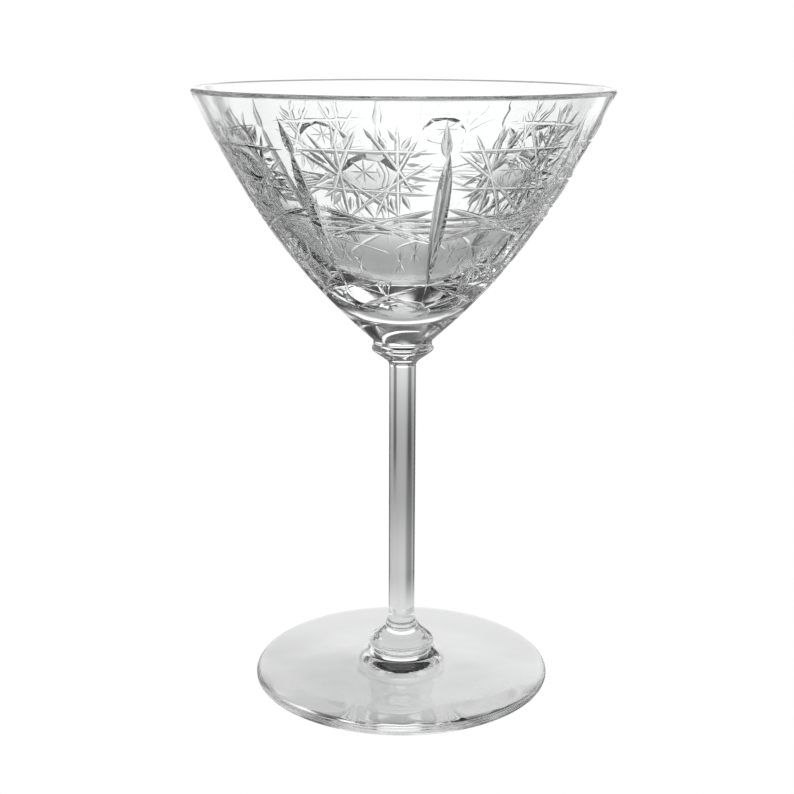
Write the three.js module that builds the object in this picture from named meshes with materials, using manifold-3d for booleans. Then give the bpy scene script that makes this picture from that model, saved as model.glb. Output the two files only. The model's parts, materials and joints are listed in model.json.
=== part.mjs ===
// A cut-crystal martini glass, in millimetres, +Z up, standing on z = 0 with its axis on the Z axis.
// Five pieces of glass are stacked on one axis and fused hot at flat, level joints: the foot, the
// lower collar, the stem, the upper collar and the bowl. The bowl carries the eight long V cuts that
// divide its outside into panels. -Y is the front.
import * as THREE from "three";
import { mergeVertices } from "three/addons/utils/BufferGeometryUtils.js";
import Module from "manifold-3d";

// Heights of the five pieces: they stack up to a glass 170 mm tall.
const FOOT_HEIGHT = 8.4;
const LOWER_COLLAR_HEIGHT = 10.0;
const STEM_LENGTH = 74.6;
const UPPER_COLLAR_HEIGHT = 7.7;
const BOWL_HEIGHT = 69.3;

// Foot: a thin disc that swells into a short neck under the lower collar.
const FOOT_RADIUS = 42.8;
const FOOT_EDGE_THICKNESS = 2.5;
const FOOT_SWELL_RADIUS = 14.2; // where the neck's sweep meets the gently sloping plate
const FOOT_SWELL_HEIGHT = 4.8; // thickness of the foot there
const FOOT_SWELL_RISE = 0.3; // how far the sweep has risen half way in to the neck
const FOOT_LAND_WIDTH = 8.0; // width of the flat ring that it stands on
const FOOT_HOLLOW_DEPTH = 0.9; // the underside rises this much at the centre

// Lower collar: a bell with a rounded edge, on a joint of its own radius with the foot's neck.
const LOWER_JOINT_RADIUS = 8.4;
const LOWER_COLLAR_RADIUS = 9.45;
const LOWER_COLLAR_EDGE = 1.3; // height of the rounded edge
const LOWER_COLLAR_SHOULDER = 1.8; // how far the bell stands up before it sweeps in
const LOWER_COLLAR_SWEEP = 4.8; // how far the bell follows the stem's side

// Stem: a plain drawn rod.
const STEM_RADIUS = 3.78;

// Upper collar: a flare from the stem out to a thin disc, with a short neck under the bowl.
const UPPER_JOINT_RADIUS = 8.45; // of the joint between the neck and the bowl
const UPPER_COLLAR_RADIUS = 8.75;
const UPPER_COLLAR_EDGE = 0.9; // radius of the disc's edge
const UPPER_COLLAR_EDGE_HEIGHT = 5.2; // middle of the disc's edge above the stem
const UPPER_COLLAR_SWEEP = 1.7; // how far the flare follows the stem's side

// Bowl: a wide, slightly rounded cone with a solid base, a drawn wall and a round lip.
const RIM_RADIUS = 57.1;
const BASE_LEAN = THREE.MathUtils.degToRad(48.5); // of the wall from upright, at the base
const RIM_LEAN = THREE.MathUtils.degToRad(25.8); // and at the rim
const BASE_REACH = 27.3; // how far the wall holds its lean, from the base up
const RIM_REACH = 37.3; // and from the rim down
const RIM_WALL = 1.9;
const LOW_WALL = 3.9; // where the wall starts to thicken into the base
const LOW_WALL_HEIGHT = 23.3; // height of that place above the bowl's base
const FLOOR_THICKNESS = 11.3; // solid glass under the middle of the cavity
const FLOOR_REACH = 11.5; // how far the floor runs level
const FLOOR_CORNER_REACH = 8.0; // how far the wall runs straight down into the floor

// Panel cuts: long V cuts in the bowl's outside, pointed at both ends.
const PANELS = 8;
const PANEL_TURN = THREE.MathUtils.degToRad(-8.5); // middle of the front panel, from the front
const CUT_LOW = 15.8; // lower point above the bowl's base
const CUT_HIGH = 56.5; // upper point above the bowl's base
const CUT_DEPTH = 1.15;
const CUT_HALF_ANGLE = THREE.MathUtils.degToRad(57);
const CUT_WIDEST = 0.7; // place of the widest part, as a share of the cut's own height
const CUT_FULLNESS = 0.6; // under 1, the cut widens sooner from its points
const CUT_CLEAR = 0.6; // the cutter stands this far outside the glass

const ROUND_SIDES = 56;
const COLLAR_SIDES = 32;

// Where each piece starts, from the bottom up.
const lowerCollarBase = FOOT_HEIGHT;
const stemBase = lowerCollarBase + LOWER_COLLAR_HEIGHT;
const upperCollarBase = stemBase + STEM_LENGTH;
const bowlBase = upperCollarBase + UPPER_COLLAR_HEIGHT;
const rimTop = bowlBase + BOWL_HEIGHT;

const point = (radius, height) => new THREE.Vector2(radius, height);

// Points on a cubic Bezier curve.
function sweep(start, startHandle, endHandle, end, steps) {
  return new THREE.CubicBezierCurve(start, startHandle, endHandle, end).getPoints(steps);
}

// Points on a round edge, from one angle to another; an angle of 0 points away from the axis.
function roundEdge(centre, radius, startDegrees, endDegrees, steps) {
  const start = THREE.MathUtils.degToRad(startDegrees);
  const end = THREE.MathUtils.degToRad(endDegrees);
  const clockwise = end < start;
  return new THREE.EllipseCurve(centre.x, centre.y, radius, radius, start, end, clockwise)
    .getPoints(steps);
}

// A solid turned about the Z axis. The profile runs from the axis below to the axis above.
function turned(profile, sides) {
  const geometry = new THREE.LatheGeometry(profile, sides);
  geometry.rotateX(Math.PI / 2);
  return geometry;
}

function crystal(color, roughness) {
  return new THREE.MeshStandardMaterial({ color, roughness, metalness: 0 });
}

function piece(name, geometry, material) {
  const mesh = new THREE.Mesh(geometry, material);
  mesh.name = name;
  return mesh;
}

// Foot.
function footGeometry() {
  const edge = FOOT_EDGE_THICKNESS / 2;
  const edgeCentre = point(FOOT_RADIUS - edge, edge);
  const landInside = edgeCentre.x - FOOT_LAND_WIDTH;
  const swell = point(FOOT_SWELL_RADIUS, FOOT_SWELL_HEIGHT);
  const neck = point(LOWER_JOINT_RADIUS, FOOT_HEIGHT);
  const neckHandle = point(LOWER_JOINT_RADIUS, (FOOT_HEIGHT + FOOT_SWELL_HEIGHT) / 2);
  const swellHandle = point(
    (LOWER_JOINT_RADIUS + FOOT_SWELL_RADIUS) / 2,
    FOOT_SWELL_HEIGHT + FOOT_SWELL_RISE,
  );
  const hollowTop = point(0, FOOT_HOLLOW_DEPTH);
  const hollowMiddle = point(landInside / 2, FOOT_HOLLOW_DEPTH);
  const hollowSide = point(landInside * 0.75, 0);
  return turned(
    [
      ...sweep(hollowTop, hollowMiddle, hollowSide, point(landInside, 0), 5),
      ...roundEdge(edgeCentre, edge, -90, 80, 7),
      ...sweep(swell, swellHandle, neckHandle, neck, 6),
      point(0, FOOT_HEIGHT),
    ],
    ROUND_SIDES,
  );
}

// Lower collar.
function lowerCollarGeometry() {
  const shoulder = point(LOWER_COLLAR_RADIUS, lowerCollarBase + LOWER_COLLAR_EDGE);
  const underside = new THREE.EllipseCurve(
    LOWER_JOINT_RADIUS,
    shoulder.y,
    LOWER_COLLAR_RADIUS - LOWER_JOINT_RADIUS,
    LOWER_COLLAR_EDGE,
    -Math.PI / 2,
    0,
  );
  const shoulderHandle = point(LOWER_COLLAR_RADIUS, shoulder.y + LOWER_COLLAR_SHOULDER);
  const stemHandle = point(STEM_RADIUS, stemBase - LOWER_COLLAR_SWEEP);
  return turned(
    [
      point(0, lowerCollarBase),
      ...underside.getPoints(5).slice(0, -1),
      ...sweep(shoulder, shoulderHandle, stemHandle, point(STEM_RADIUS, stemBase), 10),
      point(0, stemBase),
    ],
    COLLAR_SIDES,
  );
}

// Stem.
function stemGeometry() {
  return turned(
    [
      point(0, stemBase),
      point(STEM_RADIUS, stemBase),
      point(STEM_RADIUS, upperCollarBase),
      point(0, upperCollarBase),
    ],
    COLLAR_SIDES,
  );
}

// Upper collar.
function upperCollarGeometry() {
  const edgeCentre = point(
    UPPER_COLLAR_RADIUS - UPPER_COLLAR_EDGE,
    upperCollarBase + UPPER_COLLAR_EDGE_HEIGHT,
  );
  const edge = roundEdge(edgeCentre, UPPER_COLLAR_EDGE, -50, 50, 5);
  const stemHandle = point(STEM_RADIUS, upperCollarBase + UPPER_COLLAR_SWEEP);
  const flareHandle = point(
    (STEM_RADIUS + edge[0].x) / 2,
    upperCollarBase + UPPER_COLLAR_EDGE_HEIGHT / 2,
  );
  return turned(
    [
      point(0, upperCollarBase),
      ...sweep(point(STEM_RADIUS, upperCollarBase), stemHandle, flareHandle, edge[0], 7).slice(0, -1),
      ...edge,
      point(UPPER_JOINT_RADIUS, bowlBase),
      point(0, bowlBase),
    ],
    COLLAR_SIDES,
  );
}

// Bowl: the outer wall is one curve, and everything else on the bowl is placed from it.
const alongLean = (lean) => point(Math.sin(lean), Math.cos(lean));
const inwards = (lean) => point(-Math.cos(lean), Math.sin(lean));
const outerStart = point(UPPER_JOINT_RADIUS, bowlBase);
const outerEnd = point(
  RIM_RADIUS - (RIM_WALL / 2) * (1 - Math.cos(RIM_LEAN)),
  rimTop - (RIM_WALL / 2) * (1 + Math.sin(RIM_LEAN)),
);
const outerWall = new THREE.CubicBezierCurve(
  outerStart,
  outerStart.clone().addScaledVector(alongLean(BASE_LEAN), BASE_REACH),
  outerEnd.clone().addScaledVector(alongLean(RIM_LEAN), -RIM_REACH),
  outerEnd,
);

// The share of the way along the outer wall at which it reaches a height, found by halving.
function shareAtHeight(height) {
  let low = 0;
  let high = 1;
  for (let step = 0; step < 40; step++) {
    const middle = (low + high) / 2;
    if (outerWall.getPoint(middle).y < height) {
      low = middle;
    } else {
      high = middle;
    }
  }
  return (low + high) / 2;
}

function leanAt(share) {
  const along = outerWall.getTangent(share);
  return Math.atan2(along.x, along.y);
}

const lowWallShare = shareAtHeight(bowlBase + LOW_WALL_HEIGHT);

// The inner wall: the outer wall moved inwards by a thickness that grows towards the base.
function innerWallPoint(share) {
  const growth = ((1 - share) / (1 - lowWallShare)) ** 2;
  const thickness = RIM_WALL + (LOW_WALL - RIM_WALL) * growth;
  return outerWall.getPoint(share).addScaledVector(inwards(leanAt(share)), thickness);
}

function bowlGeometry() {
  const outerSteps = 10;
  const innerSteps = 6;
  const lipCentre = outerEnd.clone().addScaledVector(inwards(RIM_LEAN), RIM_WALL / 2);
  const lipStart = -THREE.MathUtils.radToDeg(RIM_LEAN);
  const innerWall = [];
  for (let step = 0; step <= innerSteps; step++) {
    innerWall.push(innerWallPoint(1 + ((lowWallShare - 1) * step) / innerSteps));
  }
  const corner = innerWall[innerSteps];
  const floorHeight = bowlBase + FLOOR_THICKNESS;
  const cornerHandle = corner
    .clone()
    .addScaledVector(alongLean(leanAt(lowWallShare)), -FLOOR_CORNER_REACH);
  return turned(
    [
      point(0, bowlBase),
      ...outerWall.getPoints(outerSteps),
      ...roundEdge(lipCentre, RIM_WALL / 2, lipStart, lipStart + 180, 6).slice(1, -1),
      ...innerWall,
      ...sweep(corner, cornerHandle, point(FLOOR_REACH, floorHeight), point(0, floorHeight), 6).slice(1),
    ],
    ROUND_SIDES,
  );
}

// A V-shaped bar that follows the outer wall at one angle round the bowl. Its lower edge dips into
// the glass by the cut's depth where the cut is widest and comes back to the surface at both ends.
function panelCutter(angle) {
  const steps = 12;
  const outwards = new THREE.Vector3(Math.sin(angle), -Math.cos(angle), 0);
  const sideways = new THREE.Vector3(Math.cos(angle), Math.sin(angle), 0);
  const power = Math.log(0.5) / Math.log(CUT_WIDEST);
  const vertices = [];
  for (let step = 0; step <= steps; step++) {
    const along = step / steps;
    const share = shareAtHeight(bowlBase + CUT_LOW + (CUT_HIGH - CUT_LOW) * along);
    const seat = outerWall.getPoint(share);
    const inward = inwards(leanAt(share));
    const depth = CUT_DEPTH * Math.sin(Math.PI * along ** power) ** CUT_FULLNESS;
    const halfWidth = (depth + CUT_CLEAR) * Math.tan(CUT_HALF_ANGLE);
    const place = (into, side) => {
      const radius = seat.x + inward.x * into;
      const spot = outwards.clone().multiplyScalar(radius).addScaledVector(sideways, side);
      spot.z = seat.y + inward.y * into;
      return spot;
    };
    vertices.push(place(depth, 0), place(-CUT_CLEAR, -halfWidth), place(-CUT_CLEAR, halfWidth));
  }
  const faces = [0, 2, 1];
  for (let step = 0; step < steps; step++) {
    for (let corner = 0; corner < 3; corner++) {
      const here = step * 3 + corner;
      const next = step * 3 + ((corner + 1) % 3);
      faces.push(here, next, next + 3, here, next + 3, here + 3);
    }
  }
  const last = steps * 3;
  faces.push(last, last + 1, last + 2);
  return new THREE.BufferGeometry().setFromPoints(vertices).setIndex(faces);
}

const wasm = await Module();
wasm.setup();

function solid(geometry) {
  const bare = geometry.clone();
  bare.deleteAttribute("normal");
  bare.deleteAttribute("uv");
  const merged = mergeVertices(bare);
  return new wasm.Manifold(
    new wasm.Mesh({
      numProp: 3,
      vertProperties: merged.attributes.position.array,
      triVerts: new Uint32Array(merged.index.array),
    }),
  );
}

function geometryOf(manifold) {
  const mesh = manifold.getMesh();
  return new THREE.BufferGeometry()
    .setAttribute("position", new THREE.BufferAttribute(mesh.vertProperties, 3))
    .setIndex(new THREE.BufferAttribute(mesh.triVerts, 1));
}

function cutBowlGeometry() {
  let bowl = solid(bowlGeometry());
  for (let panel = 0; panel < PANELS; panel++) {
    const angle = PANEL_TURN + ((panel + 0.5) * 2 * Math.PI) / PANELS;
    bowl = bowl.subtract(solid(panelCutter(angle)));
  }
  const geometry = geometryOf(bowl);
  geometry.computeVertexNormals();
  return geometry;
}

const glass = new THREE.Group();
glass.add(
  piece("foot", footGeometry(), crystal(0xe4e6e6, 0.04)),
  piece("lower_collar", lowerCollarGeometry(), crystal(0xdfe1e1, 0.03)),
  piece("stem", stemGeometry(), crystal(0xd6d8d8, 0.03)),
  piece("upper_collar", upperCollarGeometry(), crystal(0xdfe1e1, 0.03)),
  piece("bowl", cutBowlGeometry(), crystal(0xeceeee, 0.06)),
);

export default glass;
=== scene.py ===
import json
import math

import bpy
import numpy as np
from mathutils import Matrix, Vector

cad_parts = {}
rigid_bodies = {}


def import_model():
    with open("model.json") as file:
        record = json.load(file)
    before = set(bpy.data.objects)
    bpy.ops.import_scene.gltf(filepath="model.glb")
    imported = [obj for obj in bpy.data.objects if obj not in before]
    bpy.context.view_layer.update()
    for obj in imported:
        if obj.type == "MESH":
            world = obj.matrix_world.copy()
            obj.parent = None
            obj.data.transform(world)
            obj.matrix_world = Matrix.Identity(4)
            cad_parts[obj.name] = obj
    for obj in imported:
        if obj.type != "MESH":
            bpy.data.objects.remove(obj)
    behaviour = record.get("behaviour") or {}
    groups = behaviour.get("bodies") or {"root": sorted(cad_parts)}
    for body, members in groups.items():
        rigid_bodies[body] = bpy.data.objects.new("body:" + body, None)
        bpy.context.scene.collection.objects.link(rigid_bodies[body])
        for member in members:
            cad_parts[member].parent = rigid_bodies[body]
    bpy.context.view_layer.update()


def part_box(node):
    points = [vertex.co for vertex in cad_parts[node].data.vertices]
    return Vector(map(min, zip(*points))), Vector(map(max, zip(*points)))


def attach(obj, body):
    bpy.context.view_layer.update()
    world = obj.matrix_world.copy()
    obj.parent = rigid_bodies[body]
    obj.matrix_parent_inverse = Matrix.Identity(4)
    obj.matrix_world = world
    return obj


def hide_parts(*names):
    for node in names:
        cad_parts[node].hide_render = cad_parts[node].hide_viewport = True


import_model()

# Foot. A gather of clear lead crystal is pressed and spun out hot into a thin disc. It swells
# into a short neck at its middle, which the lower collar is fused to. Its edge is fire-polished
# round, and it stands on a flat ring under that edge.
MM = 0.001
AROUND = 256  # faces round every turned piece, so that fused edges meet exactly

foot_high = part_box("foot")[1]
foot_radius = foot_high.x / MM
foot_top = foot_high.z / MM
LOWER_JOINT_RADIUS = 8.4
FOOT_EDGE = 1.25  # radius of the round edge
FOOT_SWELL = (14.2, 4.8)  # radius and height where the neck's sweep meets the plate
FOOT_SWELL_RISE = 0.3  # how far the sweep has risen half way in to the neck
FOOT_LAND = 8.0  # width of the flat ring
FOOT_HOLLOW = 0.9  # how far the underside rises at its middle
FOOT_HOLLOW_SHOULDER = 0.75  # share of the hollow's radius where it starts to level out


def bezier(start, start_handle, end_handle, end, steps):
    """Points of a cubic Bezier curve: the four corners weighted by (1-t)^3, 3t(1-t)^2, 3t^2(1-t), t^3."""
    t = np.linspace(0, 1, steps + 1)[:, None]
    corners = [np.array(p, float) for p in (start, start_handle, end_handle, end)]
    shares = ((1 - t) ** 3, 3 * t * (1 - t) ** 2, 3 * t**2 * (1 - t), t**3)
    return sum(share * corner for share, corner in zip(shares, corners))


def arc(centre, radii, start, end, steps):
    """Points of an ellipse's arc: centre plus (radius x cos a, radius z sin a) for a from start to end."""
    a = np.radians(np.linspace(start, end, steps + 1))
    return np.stack([centre[0] + radii[0] * np.cos(a), centre[1] + radii[1] * np.sin(a)], 1)


def joined(*stretches):
    """One profile from stretches that share their end points, with the shared points kept once."""
    return np.concatenate([stretches[0]] + [s[1:] for s in stretches[1:]])


def turned(profile, sides=AROUND):
    """Vertices and faces of a profile turned about Z: (r sin a, -r cos a, z) for a round the circle.

    The profile starts on the axis below and ends on the axis above; both ends are single vertices.
    """
    a = np.linspace(0, 2 * np.pi, sides, endpoint=False)
    rings = profile[1:-1]
    r, z = rings[:, :1], np.broadcast_to(rings[:, 1:], (len(rings), sides))
    grid = np.stack([r * np.sin(a), -r * np.cos(a), z], -1).reshape(-1, 3)
    poles = [[0, 0, profile[0, 1]], [0, 0, profile[-1, 1]]]
    vertices = np.concatenate([grid, poles]) * MM
    column = np.arange(sides)
    following = (column + 1) % sides
    row = np.arange(len(rings) - 1)[:, None] * sides
    quads = np.stack([row + column, row + following, row + sides + following, row + sides + column], -1)
    below, above = len(grid), len(grid) + 1
    last = (len(rings) - 1) * sides
    fan_below = np.stack([np.full(sides, below), following, column], 1)
    fan_above = np.stack([np.full(sides, above), last + column, last + following], 1)
    faces = fan_below.tolist() + quads.reshape(-1, 4).tolist() + fan_above.tolist()
    return vertices, faces


def add_object(name, vertices, faces):
    """A smooth-shaded object of these vertices, in metres, and faces."""
    mesh = bpy.data.meshes.new(name)
    mesh.from_pydata(vertices, [], faces)
    mesh.shade_smooth()
    piece = bpy.data.objects.new(name, mesh)
    bpy.context.scene.collection.objects.link(piece)
    return piece


def turned_piece(name, profile, creases=(), fused_below=False, fused_above=False):
    """A turned piece with sharp rings at the given profile points, and clear faces where it is fused.

    An edge runs along ring k where both of its vertices' numbers, divided by AROUND, give k.
    """
    vertices, faces = turned(profile)
    piece = add_object(name, vertices, faces)
    mesh = piece.data
    ends = np.empty((len(mesh.edges), 2), int)
    mesh.edges.foreach_get("vertices", ends.ravel())
    ring = ends // AROUND
    level = (ring[:, 0] == ring[:, 1]) & (ends.max(1) < len(vertices) - 2)
    sharp = level & np.isin(ring[:, 0], [crease - 1 for crease in creases])
    mesh.attributes.new("sharp_edge", "BOOLEAN", "EDGE").data.foreach_set("value", sharp)
    slots = np.zeros(len(mesh.polygons), int)
    slots[:AROUND] = fused_below
    slots[-AROUND:] = fused_above
    mesh.polygons.foreach_set("material_index", slots)
    return piece


class Wire:
    """A shader socket that takes part in arithmetic: each operator adds a Math node to its tree."""

    def __init__(self, tree, socket=None):
        self.tree = tree
        self.socket = socket

    def make(self, kind, settings=None, inputs=None, out=0):
        """Adds a node of this kind, with its settings, then its sockets' values or links."""
        node = self.tree.nodes.new(kind)
        for name, value in (settings or {}).items():
            setattr(node, name, value)
        sockets = {socket.name: socket for socket in reversed(node.inputs) if socket.enabled}
        for name, value in (inputs or {}).items():
            socket = node.inputs[name] if isinstance(name, int) else sockets[name]
            if isinstance(value, Wire):
                self.tree.links.new(value.socket, socket)
            else:
                socket.default_value = value
        shown = [socket for socket in node.outputs if socket.enabled and out in (socket.name, 0)]
        return Wire(self.tree, shown[0]) if shown else None

    def math(self, operation, *values):
        """A Math node of this operation on the values, which may be numbers or wires."""
        return self.make("ShaderNodeMath", {"operation": operation}, dict(enumerate(values)))

    def __add__(self, other):
        return self.math("ADD", self, other)

    def __sub__(self, other):
        return self.math("SUBTRACT", self, other)

    def __mul__(self, other):
        return self.math("MULTIPLY", self, other)

    def __rsub__(self, other):
        return self.math("SUBTRACT", other, self)

    __radd__ = __add__
    __rmul__ = __mul__


def new_material(name):
    """A material with an empty node tree, and a wire to start its nodes from."""
    material = bpy.data.materials.new(name)
    material.use_nodes = True
    material.node_tree.nodes.clear()
    return material, Wire(material.node_tree)


CRYSTAL_IOR = 1.545  # lead crystal
CRYSTAL_TINT = (0.985, 0.99, 0.99, 1.0)
HAZE_PATCHES = 90.0  # patches of haze in a metre


def crystal(name, ripple_size, ripple_height, haze):
    """Clear lead crystal: smooth glass, a slow ripple from the fire and a trace of haze in patches.

    The ripple is noise of ripple_size and ripple_height, in metres, as a bump; the roughness is the
    patches' noise times haze.
    """
    material, start = new_material(name)
    place = start.make("ShaderNodeTexCoord", out="Object")
    ripple = start.make(
        "ShaderNodeTexNoise", inputs={"Vector": place, "Scale": 1 / ripple_size, "Detail": 1.0}
    )
    patches = start.make(
        "ShaderNodeTexNoise", inputs={"Vector": place, "Scale": HAZE_PATCHES, "Detail": 3.0}
    )
    surface = start.make(
        "ShaderNodeBump", inputs={"Height": ripple, "Distance": ripple_height, "Strength": 1.0}
    )
    glass = start.make(
        "ShaderNodeBsdfPrincipled",
        inputs={
            "Base Color": CRYSTAL_TINT,
            "Roughness": patches * haze,
            "IOR": CRYSTAL_IOR,
            "Transmission Weight": 1.0,
            "Normal": surface,
        },
    )
    start.make("ShaderNodeOutputMaterial", inputs={"Surface": glass})
    return material


def fused_joint():
    """Where two pieces were fused hot there is no surface left, so light goes straight on."""
    material, start = new_material("fused_joint")
    clear = start.make("ShaderNodeBsdfPrincipled", inputs={"Base Color": (1, 1, 1, 1), "Alpha": 0.0})
    start.make("ShaderNodeOutputMaterial", inputs={"Surface": clear})
    return material


clear_crystal = crystal("fire_polished_crystal", ripple_size=0.011, ripple_height=0.00006, haze=0.01)
joint_clear = fused_joint()


def finish_piece(piece, surface, node):
    """Gives a piece its glass and its clear joints, and lets it stand for its node."""
    piece.data.materials.append(surface)
    piece.data.materials.append(joint_clear)
    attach(piece, "root")
    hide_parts(node)


land_inside = foot_radius - FOOT_EDGE - FOOT_LAND
edge_centre = (foot_radius - FOOT_EDGE, FOOT_EDGE)
under = bezier(
    (0, FOOT_HOLLOW),
    (land_inside / 2, FOOT_HOLLOW),
    (land_inside * FOOT_HOLLOW_SHOULDER, 0),
    (land_inside, 0),
    steps=20,
)
edge = arc(edge_centre, (FOOT_EDGE, FOOT_EDGE), start=-90, end=80, steps=14)
plate = np.linspace(edge[-1], FOOT_SWELL, num=16)
swell = bezier(
    FOOT_SWELL,
    ((LOWER_JOINT_RADIUS + FOOT_SWELL[0]) / 2, FOOT_SWELL[1] + FOOT_SWELL_RISE),
    (LOWER_JOINT_RADIUS, (foot_top + FOOT_SWELL[1]) / 2),
    (LOWER_JOINT_RADIUS, foot_top),
    steps=16,
)
foot_profile = joined(under, [(land_inside, 0), edge[0]], edge, plate, swell, [swell[-1], (0, foot_top)])
foot = turned_piece("foot_disc", foot_profile, creases=[len(foot_profile) - 2], fused_above=True)
finish_piece(foot, clear_crystal, "foot")

# Lower collar. A bell of crystal drawn down from the stem's end and fused to the foot's neck.
# Its edge is rounded under and over.
lower_low, lower_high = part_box("lower_collar")
stem_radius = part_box("stem")[1].x / MM
LOWER_EDGE_HEIGHT = 1.3  # height of the rounded edge
LOWER_SHOULDER = 1.8  # how far the bell stands up before it sweeps in
LOWER_SWEEP = 4.8  # how far the bell follows the stem's side
RIPPLE_PITCH = 1.2  # rings that the tool leaves in the bell while it is spun
RIPPLE = 0.014
RIPPLE_START = 0.4  # height of the first ring above the edge
RIPPLE_ROWS = 4.5
lower_base, lower_top, lower_radius = lower_low.z / MM, lower_high.z / MM, lower_high.x / MM
shoulder_height = lower_base + LOWER_EDGE_HEIGHT
underside = arc(
    (LOWER_JOINT_RADIUS, shoulder_height),
    (lower_radius - LOWER_JOINT_RADIUS, LOWER_EDGE_HEIGHT),
    start=-90,
    end=0,
    steps=10,
)
bell = bezier(
    (lower_radius, shoulder_height),
    (lower_radius, shoulder_height + LOWER_SHOULDER),
    (stem_radius, lower_top - LOWER_SWEEP),
    (stem_radius, lower_top),
    steps=90,
)
ripple_rows = (bell[:, 1] - shoulder_height - RIPPLE_START) / RIPPLE_PITCH
ripples = RIPPLE * np.sin(2 * np.pi * ripple_rows)
bell[:, 0] += ripples * np.clip(ripple_rows, 0, 1) * np.clip(RIPPLE_ROWS - ripple_rows, 0, 1)
lower_profile = joined([(0, lower_base), underside[0]], underside, bell, [bell[-1], (0, lower_top)])
lower_collar = turned_piece(
    "lower_collar_bell",
    lower_profile,
    creases=[1, len(lower_profile) - 2],
    fused_below=True,
    fused_above=True,
)
finish_piece(lower_collar, clear_crystal, "lower_collar")

# Stem. A plain rod of clear lead crystal, round and of one thickness. It is drawn straight from
# a hot gather and fused to a collar at each end.
stem_low, stem_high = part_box("stem")
stem_base, stem_top = stem_low.z / MM, stem_high.z / MM
side = np.linspace((stem_radius, stem_base), (stem_radius, stem_top), num=41)
stem_profile = joined([(0, stem_base), side[0]], side, [side[-1], (0, stem_top)])
stem = turned_piece(
    "drawn_stem", stem_profile, creases=[1, len(stem_profile) - 2], fused_below=True, fused_above=True
)
finish_piece(stem, clear_crystal, "stem")

# Upper collar. A button of crystal tooled into a flare and a thin disc, with a short neck that is
# fused to the bowl's base.
upper_low, upper_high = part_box("upper_collar")
upper_base, upper_top, upper_radius = upper_low.z / MM, upper_high.z / MM, upper_high.x / MM
UPPER_JOINT_RADIUS = 8.45
UPPER_EDGE = 0.9  # radius of the disc's edge
UPPER_EDGE_HEIGHT = 5.2  # middle of that edge above the stem
UPPER_SWEEP = 1.7  # how far the flare follows the stem's side
NECK_WAIST = 0.25  # how much narrower the neck is than its joint with the bowl
NECK_FOOT = 0.4  # how far its waist runs down towards the disc
NECK_HEAD = 0.6  # and up towards the joint
disc_edge = arc(
    (upper_radius - UPPER_EDGE, upper_base + UPPER_EDGE_HEIGHT),
    (UPPER_EDGE, UPPER_EDGE),
    start=-50,
    end=50,
    steps=10,
)
flare = bezier(
    (stem_radius, upper_base),
    (stem_radius, upper_base + UPPER_SWEEP),
    ((stem_radius + disc_edge[0, 0]) / 2, upper_base + UPPER_EDGE_HEIGHT / 2),
    disc_edge[0],
    steps=20,
)
neck = bezier(
    disc_edge[-1],
    (UPPER_JOINT_RADIUS - NECK_WAIST, disc_edge[-1, 1] + NECK_FOOT),
    (UPPER_JOINT_RADIUS - NECK_WAIST, upper_top - NECK_HEAD),
    (UPPER_JOINT_RADIUS, upper_top),
    steps=8,
)
upper_profile = joined([(0, upper_base), flare[0]], flare, disc_edge, neck, [neck[-1], (0, upper_top)])
upper_collar = turned_piece(
    "upper_collar_disc",
    upper_profile,
    creases=[1, len(flare), len(upper_profile) - 2],
    fused_below=True,
    fused_above=True,
)
finish_piece(upper_collar, clear_crystal, "upper_collar")

# Bowl blank. The bowl is blown with a solid base and a wall that thins towards a round lip.
# The outside is one slightly rounded cone, and the cavity's floor is a shallow round.
bowl_low, bowl_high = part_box("bowl")
bowl_base, rim_top, rim_radius = bowl_low.z / MM, bowl_high.z / MM, bowl_high.x / MM
BASE_LEAN = math.radians(48.5)  # of the wall from upright, at the base
RIM_LEAN = math.radians(25.8)  # and at the rim
BASE_REACH = 27.3  # how far the wall holds its lean, from the base up
RIM_REACH = 37.3  # and from the rim down
RIM_WALL = 1.9
LOW_WALL = 3.9  # thickness where the wall starts to grow into the solid base
LOW_WALL_HEIGHT = 23.3
FLOOR_THICKNESS = 11.3
FLOOR_REACH = 11.5  # how far the floor runs level
FLOOR_CORNER_REACH = 8.0  # how far the wall runs straight down into the floor
WALL_STEPS = 400  # the wall is measured this finely
RING_EVERY = 10  # and every tenth point of it becomes a ring


def lean_direction(lean):
    """The direction (radius, height) that leans outwards from upright by this angle."""
    return np.array([math.sin(lean), math.cos(lean)])


def unit(vectors):
    """The vectors divided by their own lengths."""
    return vectors / np.maximum(np.linalg.norm(vectors, axis=-1, keepdims=True), 1e-12)


outer_start = np.array([UPPER_JOINT_RADIUS, bowl_base])
outer_end = np.array(
    [
        rim_radius - RIM_WALL / 2 * (1 - math.cos(RIM_LEAN)),
        rim_top - RIM_WALL / 2 * (1 + math.sin(RIM_LEAN)),
    ]
)
outer_wall = bezier(
    outer_start,
    outer_start + lean_direction(BASE_LEAN) * BASE_REACH,
    outer_end - lean_direction(RIM_LEAN) * RIM_REACH,
    outer_end,
    steps=WALL_STEPS,
)
outer_slope = unit(np.gradient(outer_wall, axis=0))
outer_inward = np.stack([-outer_slope[:, 1], outer_slope[:, 0]], 1)
low_wall_at = int(np.searchsorted(outer_wall[:, 1], bowl_base + LOW_WALL_HEIGHT))
rest_of_way = (WALL_STEPS - np.arange(low_wall_at, WALL_STEPS + 1)) / (WALL_STEPS - low_wall_at)
thickness = RIM_WALL + (LOW_WALL - RIM_WALL) * rest_of_way**2
inner_wall = outer_wall[low_wall_at:] + outer_inward[low_wall_at:] * thickness[:, None]
corner_direction = unit(inner_wall[1] - inner_wall[0])
floor_height = bowl_base + FLOOR_THICKNESS
floor = bezier(
    inner_wall[0],
    inner_wall[0] - corner_direction * FLOOR_CORNER_REACH,
    (FLOOR_REACH, floor_height),
    (0, floor_height),
    steps=14,
)
lip_centre = outer_end + np.array([-math.cos(RIM_LEAN), math.sin(RIM_LEAN)]) * RIM_WALL / 2
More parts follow.
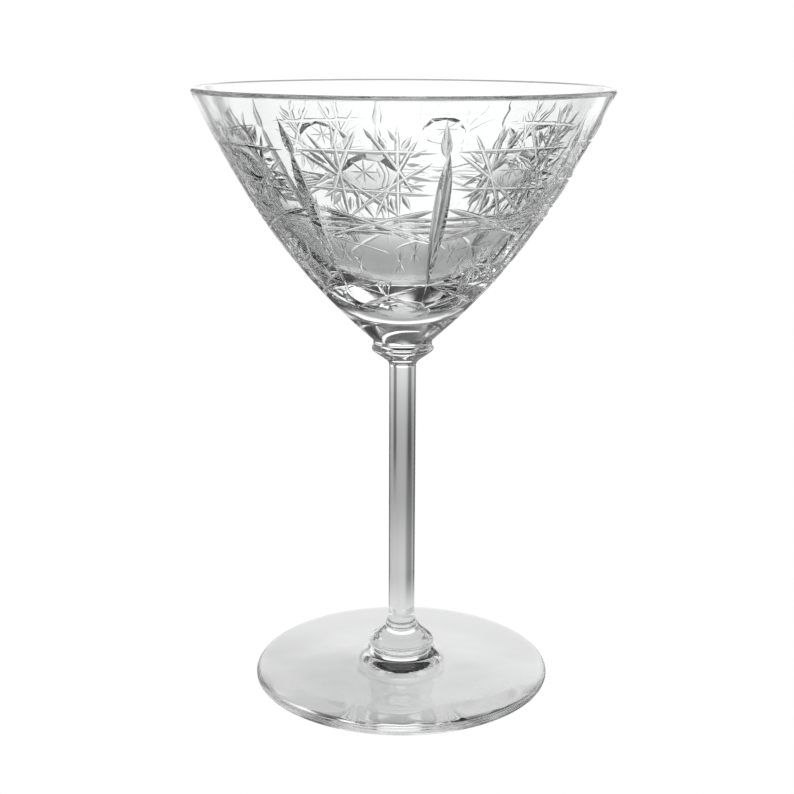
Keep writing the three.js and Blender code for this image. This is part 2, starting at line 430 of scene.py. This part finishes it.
lip_start = -math.degrees(RIM_LEAN)
lip = arc(lip_centre, (RIM_WALL / 2, RIM_WALL / 2), lip_start, lip_start + 180, steps=12)
blank_profile = joined(
    [(0, bowl_base), outer_start], outer_wall[::RING_EVERY], lip, inner_wall[::-1][::RING_EVERY], floor
)


def profile_normals(profile):
    """Outward normals of a profile's points: the direction along it, turned a quarter to the right."""
    along = unit(np.gradient(profile, axis=0))
    return np.stack([along[:, 1], -along[:, 0]], 1)


# Cuts. Every groove is ground with a V-edged wheel that follows the outside of the bowl: long
# cuts that run out to a point at each end, and a polished oval dish in each of eight panels.
# A place on the bowl is given as degrees round it and millimetres above the bowl's base.
PANELS = 8
cut_datum = round(bowl_base, 3)  # cuts are set out from the bowl's base, to the nearest micron
STAR_TURN = -10.1  # degrees from the front to the middle of the first star
ALL = np.arange(PANELS)
WHEEL_LIFT = 0.35  # the wheel's edge stands this far outside the glass
MM_PER_DEGREE = 0.82  # of the bowl's outside, at the stars
CUT_STEP = 1.6  # a cut follows the wall in steps of about this length
# The hand went off a little round the back, where the cuts are turned and set too high.
PANEL_DRIFT = np.array([0, 0, 0, -2.5, -4.6, -2.5, 0, 0])
PANEL_RISE = np.array([0, 0, 0, 1.5, 3.0, 1.5, 0, 0])
RISE_FADES = (52.3, 64.3)  # heights between which that rise runs out
RISE_LEFT = 0.15  # share of it that is left at the rim
PANEL_HOLLOW = np.array([1, 1, 1, 0.7, 0.5, 0.7, 1, 1])  # how much of a flank's hollow the acid left
hand = np.random.default_rng(11)


def panel_turn(panel):
    """Degrees from the front to the middle of each panel's star."""
    return STAR_TURN + panel * 360 / PANELS + PANEL_DRIFT[panel]


def panel_lift(panel, height):
    """How far the hand set each panel's cuts too high, times 1 low down and RISE_LEFT at the rim."""
    return PANEL_RISE[panel] * np.interp(height, RISE_FADES, (1, RISE_LEFT))


def seat(turn, above_base):
    """Points on the bowl's outside, and the directions into the glass there.

    Both are read off the outer wall at each height and turned to (r sin a, -r cos a, z).
    """
    a = np.radians(turn)
    height = cut_datum + above_base
    radius = np.interp(height, outer_wall[:, 1], outer_wall[:, 0])
    into_r = np.interp(height, outer_wall[:, 1], outer_inward[:, 0])
    into_z = np.interp(height, outer_wall[:, 1], outer_inward[:, 1])
    around = np.stack([np.sin(a), -np.cos(a)], -1)
    points = np.concatenate([around * radius[..., None], height[..., None]], -1)
    inward = np.concatenate([around * into_r[..., None], into_z[..., None]], -1)
    return points, unit(inward)


cutters = bpy.data.collections.new("cutters")


def add_cutter(vertices, faces, shade):
    """A closed mesh to cut the bowl with. shade holds the normal that each face corner leaves behind."""
    mesh = bpy.data.meshes.new("cutter")
    mesh.from_pydata(vertices * MM, [], faces)
    kept = mesh.attributes.new("shade", "FLOAT_VECTOR", "CORNER")
    kept.data.foreach_set("vector", np.asarray(shade, np.float32).ravel())
    cutters.objects.link(bpy.data.objects.new("cutter", mesh))


def groove(
    start,
    end,
    depth,
    half_angle=57,
    taper=3.0,
    fullest=0.5,
    drift=0.12,
    under=None,
    panels=ALL,
    level=False,
    tilts=(22, 55),
):
    """The same V cut in each panel, between two (degrees from the star, height) points.

    The apex lies depth x (1 - |2w-1|^taper) under the surface, where w runs from 0 to 1 along the
    cut and is a half at its fullest point. The two upper edges stand WHEEL_LIFT outside the glass,
    as far apart as the V is wide there. under gives the depth of a dish that the cut lies in, a
    level cut keeps its height in every panel, and drift is how far the hand strays.
    """
    length = math.hypot((end[0] - start[0]) * MM_PER_DEGREE, end[1] - start[1])
    u = np.linspace(0, 1, max(5, int(length / CUT_STEP)) + 1)
    off = hand.normal(0, drift, (2, len(panels), 1))
    turn = panel_turn(panels)[:, None] + start[0] + (end[0] - start[0]) * u + off[0]
    height = start[1] + (end[1] - start[1]) * u + off[1]
    w = u ** (math.log(0.5) / math.log(fullest))
    deep = np.broadcast_to(depth * (1 - np.abs(2 * w - 1) ** taper), turn.shape)
    if under:
        deep = deep + under(height)
    if not level:
        height = height + panel_lift(panels[:, None], height)
    points, inward = seat(turn, height)
    along = unit(np.gradient(points, axis=1))
    side = np.cross(inward, along)
    wide = ((deep + WHEEL_LIFT) * math.tan(math.radians(half_angle)))[..., None]
    apex = points + inward * deep[..., None]
    left = points - inward * WHEEL_LIFT + side * wide
    right = points - inward * WHEEL_LIFT - side * wide
    hollow = np.ones(PANELS) if under else PANEL_HOLLOW
    bar(apex, left, right, inward, side, [tilt * hollow[panels] for tilt in tilts])


def bar(apex, left, right, inward, side, tilts):
    """Closed three-sided bars, one per panel, through three lines of points.

    Each flank leaves a face that the wheel and the acid have hollowed a little: its normal leans
    away from the middle of the groove by the first tilt at the apex and by the second at the edge.
    tilts holds two arrays, in degrees, with one value for each bar.
    """
    count, steps = apex.shape[:2]
    vertices = np.stack([apex, left, right], 2).reshape(-1, 3)
    first = (np.arange(count) * steps * 3)[:, None, None] + (np.arange(steps - 1) * 3)[None, :, None]

    def leaning(way, tilt):
        """The outward direction turned sideways: -inward cos a less side sin a times the way."""
        a = np.radians(tilt)[:, None, None]
        return -inward * np.cos(a) - side * (way * np.sin(a))

    corners = (
        (0, 1, leaning(1, tilts[0]), leaning(1, tilts[1])),
        (1, 2, inward, inward),
        (2, 0, leaning(-1, tilts[1]), leaning(-1, tilts[0])),
    )
    faces, shade = [], []
    for a, b, at_a, at_b in corners:
        strip = np.concatenate([first + a, first + 3 + a, first + 3 + b, first + b], -1)
        faces.append(strip.reshape(-1, 4))
        shade.append(np.stack([at_a[:, :-1], at_a[:, 1:], at_b[:, 1:], at_b[:, :-1]], 2).reshape(-1, 3))
    ends = np.concatenate([first[:, 0, :] + [0, 1, 2], first[:, -1, :] + [3, 5, 4]])
    end_shade = np.repeat(-np.concatenate([inward[:, 0], inward[:, -1]]), 3, 0)
    all_faces = np.concatenate(faces).tolist() + ends.tolist()
    add_cutter(vertices, all_faces, np.concatenate(shade + [end_shade]))


# Ten long cuts cross round the dish, and 22 short kite-shaped ones stand between their ends.
long_cuts = [
    ((-8.6, 62.9), (-8.6, 39.1)),
    ((8.3, 62.9), (8.3, 39.1)),
    ((-20.6, 56.0), (20, 55.7)),
    ((-20.6, 46.6), (20, 45.0)),
    ((-16.4, 60.7), (0.4, 38.7)),
    ((14.1, 59.5), (0.6, 38.7)),
    ((-20.4, 56.1), (9.6, 39.1)),
    ((18.4, 53.5), (-8.8, 39.1)),
    ((-1.9, 61.5), (-14.0, 42.3)),
    ((-0.4, 62.3), (14.2, 44.5)),
]
for start, end in long_cuts:
    groove(start, end, depth=0.46, taper=5, tilts=(10, 75))
short_cuts = [
    ((-11.6, 52.7), (-17.6, 56.5)),
    ((-9.4, 46.7), (-16.2, 44.1)),
    ((11.0, 54.5), (16.4, 56.7)),
    ((9.6, 48.7), (16.4, 45.9)),
    ((-6.0, 56.9), (-3.8, 60.9)),
    ((5.6, 56.7), (3.2, 60.7)),
    ((-6.6, 44.7), (-7.6, 40.5)),
    ((6.6, 44.7), (7.4, 40.5)),
    ((-10.9, 50.9), (-17.6, 47.2)),
    ((-10.6, 48.9), (-18.8, 50.3)),
    ((-9.6, 45.7), (-13.6, 42.0)),
    ((-9.6, 56.5), (-7.0, 62.1)),
    ((-4.0, 58.9), (-6.9, 61.8)),
    ((2.8, 58.7), (-0.2, 62.0)),
    ((10.4, 50.1), (18.9, 48.8)),
    ((10.6, 53.1), (14.9, 53.0)),
    ((9.8, 47.3), (17.2, 47.9)),
    ((9.4, 56.3), (12.4, 60.5)),
    ((8.8, 58.3), (6.0, 61.7)),
    ((9.6, 45.5), (12.6, 40.9)),
    ((-3.8, 45.7), (-4.4, 39.9)),
    ((4.2, 45.5), (4.6, 39.9)),
]
for start, end in short_cuts:
    groove(start, end, depth=0.6, taper=1.15, fullest=0.45, tilts=(16, 48))

# The band under the stars: three level lines, and two long cuts that cross over them.
for height in (38.6, 36.8, 35.1):
    groove((-21.5, height), (21.5, height), depth=0.5, taper=12, tilts=(20, 85))
groove((-20.5, 41.7), (22.0, 32.0), depth=0.72, taper=6, tilts=(16, 80))
groove((-21.5, 32.7), (20.5, 40.9), depth=0.72, taper=6, tilts=(16, 80))

# Fine cutting low on the bowl: ticks in threes, a crossing pair and a small fan.
TICK_REACH = 3.4  # half of a tick's height
for turn, height in ((-15, 29.3), (-9, 26.3), (9, 26.7), (15, 29.7)):
    for lean in (-5.5, 0, 5.5):
        tick_low = (turn - lean / 2, height - TICK_REACH)
        tick_high = (turn + lean / 2, height + TICK_REACH)
        groove(tick_low, tick_high, depth=0.22, half_angle=50, tilts=(18, 60))
for way in (-1, 1):
    groove((way * 20, 19.7), (-way * 21, 12.7), depth=0.5, taper=4)
for reach in (-4.2, -1.4, 1.4, 4.2):
    groove((reach, 21.3), (0, 14.8), depth=0.25)

# Blades between the panels and the leaves above them, cut with a broader wheel.
BLADE_TURN = -22.6
blade_low, blade_high = (BLADE_TURN, 14.5), (BLADE_TURN + 0.2, 56.1)
groove(blade_low, blade_high, depth=1.35, taper=2.2, fullest=0.64, drift=0.2, level=True)
leaf_high, leaf_low = (BLADE_TURN - 1.5, 64.5), (BLADE_TURN - 0.2, 54.3)
groove(leaf_high, leaf_low, depth=0.95, taper=2.2, fullest=0.7, drift=0.2, level=True)

# The dish in the middle of each star, ground with a round-edged wheel and polished.
DISH_CORNERS = np.array([(8.4, 51.2), (5.2, 54.7), (-0.3, 56.1), (-5.3, 54.1), (-8.4, 50.6)])
DISH_MIDDLE = np.array([0.0, 50.9])
OVAL_HALF_WIDTH = 8.4  # degrees
OVAL_TOP = 50.7  # height of the half ellipse's level side
OVAL_DROP = 4.4
BEVEL_FULL = 4.0  # height over the middle at which the bevel has its full width
FLOOR_SHARE = 0.95  # size of the flat floor beside the outline, where there is no bevel
BEVEL_SHARE = 0.29  # how much of it the full bevel takes away
OVERRUN = 1.06  # size of the wheel's cut where it stands clear of the glass
SHALLOWEST, DEEPEST = 0.08, 0.6
DEPTH_AT_MARK = 0.12
DEPTH_MARK = 46.3
DEPTH_GROWTH = 0.055  # for each millimetre higher up
EXTRA_HOLLOW = 2.3  # how much deeper than it is cut a fully hollow dish looks in its facets' shine


def dish_depth(height):
    """Depth of the dish's flat floor: it grows in proportion to the height, between two limits."""
    return np.clip(DEPTH_AT_MARK + DEPTH_GROWTH * (height - DEPTH_MARK), SHALLOWEST, DEEPEST)


def facet_normals(vertices, faces):
    """One normal for each corner of each face: the cross product of the face's diagonals or sides."""
    p = vertices[faces]
    normal = unit(np.cross(p[:, -2] - p[:, 0], p[:, -1] - p[:, -3]))
    return np.repeat(normal, faces.shape[1], 0)


def add_facets(points, sunk, quads, triangles, hollowed):
    """Adds a flat-faced cutter; its faces point outwards, and what each leaves faces the other way.

    The wheel leaves each facet hollow, so its normal is that of a dish hollowed times as deep.
    """
    quads, triangles = quads[:, ::-1], triangles[:, ::-1]
    deeper = points + sunk * hollowed
    shade = -np.concatenate([facet_normals(deeper, quads), facet_normals(deeper, triangles)])
    add_cutter(points + sunk, quads.tolist() + triangles.tolist(), shade)


def dish():
    """The oval dish in each panel: an outline with four straight sides over a half ellipse.

    Rings of points run from the wheel's edge over the outline to the rim of the flat floor and on to
    its middle; the floor is deepest under the straight sides, which leaves a broad bevel there.
    """
    corner_pairs = zip(DISH_CORNERS, DISH_CORNERS[1:])
    sides = np.concatenate([np.linspace(corner, following, 6)[:-1] for corner, following in corner_pairs])
    a = np.linspace(math.pi, 2 * math.pi, 24)[:-1]
    half_oval = np.stack([OVAL_HALF_WIDTH * np.cos(a), OVAL_TOP + OVAL_DROP * np.sin(a)], 1)
    outline = np.concatenate([sides, half_oval])
    spread = outline - DISH_MIDDLE
    rise = np.clip(spread[:, 1:] / BEVEL_FULL, 0, 1)
    wheel_edge = DISH_MIDDLE + spread * OVERRUN
    floor_rim = DISH_MIDDLE + spread * (FLOOR_SHARE - BEVEL_SHARE * rise**0.5)
    half_way = DISH_MIDDLE + (floor_rim - DISH_MIDDLE) * 0.5
    count = len(outline)
    lines = np.concatenate([wheel_edge, outline, floor_rim, half_way, [DISH_MIDDLE, DISH_MIDDLE]])
    deep = dish_depth(lines[:, 1])
    deep[:count] = -WHEEL_LIFT
    deep[count : 2 * count] = 0
    deep[-1] = -WHEEL_LIFT
    column = np.arange(count)
    following = (column + 1) % count
    rows = (np.arange(3) * count)[:, None]
    quads = np.stack([rows + column, rows + following, rows + count + following, rows + count + column], -1)
    quads = quads.reshape(-1, 4)
    bottom = np.stack([3 * count + column, 3 * count + following, np.full(count, 4 * count)], 1)
    cap = np.stack([following, column, np.full(count, 4 * count + 1)], 1)
    triangles = np.concatenate([bottom, cap])
    for panel in range(PANELS):
        lifted = lines[:, 1] + panel_lift(panel, lines[:, 1])
        points, inward = seat(panel_turn(panel) + lines[:, 0], lifted)
        hollowed = 1 + EXTRA_HOLLOW * PANEL_HOLLOW[panel] ** 2
        add_facets(points, inward * deep[:, None], quads, triangles, hollowed)


dish()

# Fine stars: one of eight rays in each dish, and one of sixteen rays low on every other panel.
STAR_RADIUS = 46.0  # of the bowl's outside, where the stars in the dishes are


def star(centre, reach, rays, depth, squash=1.0, under=None, panels=ALL):
    """A star of fine straight cuts that cross at its centre, one for each pair of rays.

    A ray at angle a reaches reach cos a sideways and reach sin a times squash upwards, in millimetres.
    """
    for ray in range(rays // 2):
        a = math.pi * ray / (rays // 2)
        across = math.degrees(reach * math.cos(a) / STAR_RADIUS)
        up = reach * math.sin(a) * squash
        start = (centre[0] - across, centre[1] - up)
        end = (centre[0] + across, centre[1] + up)
        groove(start, end, depth, half_angle=50, taper=6, drift=0.03, under=under, panels=panels)


star((-1.3, 50.9), reach=4.1, rays=8, depth=0.24, squash=0.85, under=dish_depth)
star((0, 24.8), reach=7.0, rays=16, depth=0.25, panels=ALL[1::2])

# Blank and cuts come together here, as at the cutter's wheel. The blank keeps the true normals of
# its turned surface, each cut leaves its own facet, and the edges between them stay crisp.
vertices, faces = turned(blank_profile)
bowl = add_object("cut_bowl", vertices, faces)
ring_normals = profile_normals(blank_profile)[1:-1]
around = np.linspace(0, 2 * np.pi, AROUND, endpoint=False)
grid_normals = np.stack(
    [
        ring_normals[:, :1] * np.sin(around),
        -ring_normals[:, :1] * np.cos(around),
        np.broadcast_to(ring_normals[:, 1:], (len(ring_normals), AROUND)),
    ],
    -1,
).reshape(-1, 3)
grid_normals[:AROUND] = np.concatenate(
    [
        np.stack([np.sin(around), -np.cos(around)], 1) * -outer_inward[0, 0],
        np.full((AROUND, 1), -outer_inward[0, 1]),
    ],
    1,
)
vertex_normals = np.concatenate([grid_normals, [[0, 0, -1], [0, 0, 1]]])
corner_vertex = np.empty(len(bowl.data.loops), int)
bowl.data.loops.foreach_get("vertex_index", corner_vertex)
corner_normals = vertex_normals[corner_vertex]
corner_normals[: AROUND * 3] = (0, 0, -1)
bowl.data.attributes.new("shade", "FLOAT_VECTOR", "CORNER").data.foreach_set(
    "vector", corner_normals.astype(np.float32).ravel()
)
slots = np.zeros(len(bowl.data.polygons), int)
slots[:AROUND] = 1
cut_crystal = crystal("cut_and_polished_crystal", ripple_size=0.004, ripple_height=0.000012, haze=0.01)
finish_piece(bowl, cut_crystal, "bowl")
bowl.data.polygons.foreach_set("material_index", slots)
grind = bowl.modifiers.new("grind", "BOOLEAN")
grind.operation = "DIFFERENCE"
grind.solver = "MANIFOLD"
grind.operand_type = "COLLECTION"
grind.collection = cutters
depsgraph = bpy.context.evaluated_depsgraph_get()
ground = bpy.data.meshes.new_from_object(bowl.evaluated_get(depsgraph), depsgraph=depsgraph)
blank = bowl.data
bowl.modifiers.clear()
bowl.data = ground
bpy.data.meshes.remove(blank)
ground.name = "cut_bowl"
for cutter in list(cutters.objects):
    bpy.data.meshes.remove(cutter.data)
bpy.data.collections.remove(cutters)
shade = np.empty(len(ground.loops) * 3, np.float32)
ground.attributes["shade"].data.foreach_get("vector", shade)
ground.attributes.remove(ground.attributes["shade"])
ground.shade_smooth()
ground.normals_split_custom_set(unit(shade.reshape(-1, 3)))

# Stage. A pale floor and a soft white studio of screens, the way that clear glass is lit. The light
# comes from behind and below: the screens are the world's light, and the floor glows with painted
# light and painted shade. Dark gaps between the screens, a dim ceiling and dark cards give the glass
# its lines. Seen directly, the floor and the screens are plain white.
SCREEN = 1.2  # brightness of the screens, which makes up for what four faces of glass mirror away
GAP_SOFT = 5  # degrees over which a gap between screens eases off
# Each gap's turn from straight behind (to the right is positive), its half width and its darkness.
WALL_GAPS = (
    (-24, 4, 0.85),
    (-43, 9, 0.97),
    (27, 4, 0.9),
    (-68, 8, 0.85),
    (80, 14, 0.92),
    (112, 8, 0.7),
    (-120, 10, 0.8),
)
FLOOR_GAPS = (
    (-20, 4, 0.2),
    (-40, 7, 0.5),
    (29, 3, 0.7),
    (-66, 8, 0.9),
    (84, 20, 0.92),
    (-120, 8, 0.6),
)
world = bpy.data.worlds.new("studio")
bpy.context.scene.world = world
world.use_nodes = True
world.node_tree.nodes.clear()


def flattened(place):
    """The level part of a place or direction, one unit long."""
    level = place.make("ShaderNodeVectorMath", {"operation": "MULTIPLY"}, {0: place, 1: (1, 1, 0)})
    return place.make("ShaderNodeVectorMath", {"operation": "NORMALIZE"}, {0: level})


def eased(value, start, end, low=0.0, high=1.0):
    """A smooth step from low to high as the value goes from start to end."""
    return value.make(
        "ShaderNodeMapRange",
        {"interpolation_type": "SMOOTHSTEP"},
        {"Value": value, "From Min": start, "From Max": end, "To Min": low, "To Max": high},
    )


def toward(flat, turn, wide, soft):
    """1 within wide degrees of a turn from straight behind, eased off over soft degrees more."""
    aim = (math.sin(math.radians(turn)), math.cos(math.radians(turn)), 0)
    near = flat.make("ShaderNodeVectorMath", {"operation": "DOT_PRODUCT"}, {0: flat, 1: aim}, out="Value")
    return eased(near, math.cos(math.radians(wide + soft)), math.cos(math.radians(wide)))


def card_or_painted_shade(flat, dark, turn, wide, soft):
    """The share of the light left towards a turn: 1 less its darkness there. In the world that darkness
    is dark screening in the studio's light; on the floor it is painted shade or painted shadow.
    """
    return 1 - dark * toward(flat, turn, wide, soft)


def round_about(flat, gaps):
    """Brightness by direction round the glass: white screens, with a dark front and dark gaps."""
    level = card_or_painted_shade(flat, dark=0.85, turn=180, wide=22, soft=16)
    for turn, wide, dark in gaps:
        level = level * card_or_painted_shade(flat, dark, turn, wide, GAP_SOFT)
    return level


def white_for_camera(level):
    """A grey of this level, and pure white where it is seen directly."""
    straight = level.make("ShaderNodeLightPath", out="Is Camera Ray")
    shown = level * (1 - straight) + straight
    grey = {"Factor": shown, "A": (0, 0, 0, 1), "B": (1, 1, 1, 1)}
    return level.make("ShaderNodeMix", {"data_type": "RGBA", "clamp_factor": False}, grey, out="Result")


direction = Wire(world.node_tree).make("ShaderNodeTexCoord", out="Generated")
height = direction.make("ShaderNodeSeparateXYZ", inputs={"Vector": direction}, out="Z")
wall = round_about(flattened(direction), WALL_GAPS)
ceiling_edge = eased(height, start=0.34, end=0.54, low=1.0, high=0.07)
ceiling_middle = eased(height, start=0.65, end=0.85, low=1.0, high=0.3)
screen_light = wall * (ceiling_edge * ceiling_middle) * SCREEN
background = direction.make(
    "ShaderNodeBackground", inputs={"Color": white_for_camera(screen_light), "Strength": 1.0}
)
direction.make("ShaderNodeOutputWorld", inputs={"Surface": background})

# Floor. One wide pale table top, a hair under the glass so that the two faces never coincide.
# It is no lamp, yet it glows, and its glow is painted light: through the glass it shows painted
# shade, grey near and under the foot, painted shadows dark to the sides, and painted bright
# screens further out.
FLOOR_RADIUS = 6000.0
FLOOR_DROP = 0.3
TABLE_THICKNESS = 10.0
floor_top = -FLOOR_DROP
floor_bottom = floor_top - TABLE_THICKNESS
floor_rings = np.array(
    [(0, floor_bottom), (FLOOR_RADIUS, floor_bottom), (FLOOR_RADIUS, floor_top), (0, floor_top)]
)
vertices, faces = turned(floor_rings, sides=96)
table = add_object("table", vertices, faces)
painted_table_glow, start = new_material("pale_table_painted_glow")
place = start.make("ShaderNodeTexCoord", out="Object")
flat = flattened(place)
away = place.make("ShaderNodeVectorMath", {"operation": "LENGTH"}, {0: place}, out="Value")

# Rings of the floor's painted light and shade, by metres from the glass's middle.
outside = eased(away, start=0.046, end=0.08)
beyond = eased(away, start=0.22, end=0.60)
screens = eased(away, start=0.42, end=0.62)
# How far out the painted shadow on the left reaches.
painted_shadow_reach = 1 - eased(away, start=0.8, end=1.2)
# A band of the floor that gets two dark painted slits of shade.
painted_slit_band = eased(away, start=0.14, end=0.25) * (1 - eased(away, start=0.6, end=0.9))
# A narrow ring just round the foot's edge, for a painted shadow there.
edge_shade = eased(away, start=0.0424, end=0.0434) * (1 - eased(away, start=0.06, end=0.09))

# Painted shadows and painted shade on the floor, by degrees from straight behind; nothing stands
# there to cast them.
left_gloom = card_or_painted_shade(flat, 0.85, turn=-70, wide=8, soft=14) * card_or_painted_shade(flat, 0.15, turn=-50, wide=20, soft=25)
# A broad, dark painted shadow to the left.
left_painted_shadow = card_or_painted_shade(flat, 0.93 * painted_shadow_reach, turn=-76, wide=14, soft=8)
# Painted shade to the right and to the front left.
right_gloom = card_or_painted_shade(flat, 0.88, turn=88, wide=24, soft=10)
front_gloom = card_or_painted_shade(flat, 0.85, turn=-116, wide=30, soft=16)
# Painted shade: a grey ring round the foot, a little darker further out, with a dim streak to the left.
near_painted_shade_ring = eased(away, start=0.09, end=0.17, low=0.58, high=0.41)
near_painted_shade = near_painted_shade_ring * card_or_painted_shade(flat, 0.5, turn=-27, wide=6, soft=12) * front_gloom
# Painted shade under the foot, darker towards the front left.
painted_shade_under_foot = 0.74 - 0.12 * toward(flat, turn=-125, wide=30, soft=50)
# Past the grey ring the floor is painted as bright as the screens.
open_floor_painted_light = near_painted_shade * (1 - beyond) + beyond * SCREEN
level = painted_shade_under_foot * (1 - outside) + outside * open_floor_painted_light * left_gloom * left_painted_shadow * right_gloom
# Further out the floor is painted with the screens' light and their dark gaps.
level = level * (1 - screens + screens * round_about(flat, FLOOR_GAPS))
# Two painted slits of shade, left and right of straight behind.
level = level * card_or_painted_shade(flat, 0.6 * painted_slit_band, turn=-25, wide=4, soft=5)
level = level * card_or_painted_shade(flat, 0.7 * painted_slit_band, turn=26, wide=4, soft=5)
# Painted shadow round the foot's edge, on the right and the front left.
level = level * card_or_painted_shade(flat, 0.95 * edge_shade, turn=112, wide=42, soft=12)
level = level * card_or_painted_shade(flat, 0.7 * edge_shade, turn=-152, wide=12, soft=8)
# The floor is an emitter: its painted light and shade glow, and it is white where seen directly.
glow = start.make("ShaderNodeEmission", inputs={"Color": white_for_camera(level), "Strength": 1.0})
start.make("ShaderNodeOutputMaterial", inputs={"Surface": glow})
table.data.materials.append(painted_table_glow)

# Camera. It has a long lens, stands in front of the glass a little higher than the rim, and looks
# down at it, so that the rim and the foot both show as open ovals.
CAMERA_PLACE = (0, -0.399, 0.186)
CAMERA_DOWN = 14.38  # degrees below level
CAMERA_ROLL = 0.27
camera_data = bpy.data.cameras.new("camera")
camera_data.lens = 65.8
camera_data.sensor_width = 36
camera_data.shift_x = -0.0069
camera_data.clip_start = 0.01
camera = bpy.data.objects.new("camera", camera_data)
camera_tilt = Matrix.Rotation(math.radians(90 - CAMERA_DOWN), 4, "X")
camera_roll = Matrix.Rotation(math.radians(CAMERA_ROLL), 4, "Z")
camera.matrix_world = Matrix.Translation(CAMERA_PLACE) @ (camera_tilt @ camera_roll)
bpy.context.scene.collection.objects.link(camera)
bpy.context.scene.camera = camera

# Softbox. A tall diffused lamp stands in front, on the left. Clear glass shows it as a faint glint
# on the stem and along the cuts.
SOFTBOX_PLACE = (-0.7, -0.5, 0.5)
SOFTBOX_TURN = -55  # degrees about the upright
SOFTBOX_TILT = 75  # degrees up from facing the floor
key = bpy.data.lights.new("softbox", "AREA")
key.shape = "RECTANGLE"
key.size = 0.25
key.size_y = 0.6
key.energy = 0.7
softbox = bpy.data.objects.new("softbox", key)
softbox_turn = Matrix.Rotation(math.radians(SOFTBOX_TURN), 4, "Z")
softbox_tilt = Matrix.Rotation(math.radians(SOFTBOX_TILT), 4, "X")
softbox.matrix_world = Matrix.Translation(SOFTBOX_PLACE) @ softbox_turn @ softbox_tilt
bpy.context.scene.collection.objects.link(softbox)

# Light crosses many faces of cut glass before it is out again, and too few bounces leave it black.
bpy.context.scene.view_settings.view_transform = "Standard"
cycles = bpy.context.scene.cycles
cycles.max_bounces = 64
cycles.transmission_bounces = 64
cycles.glossy_bounces = 32
cycles.transparent_max_bounces = 32
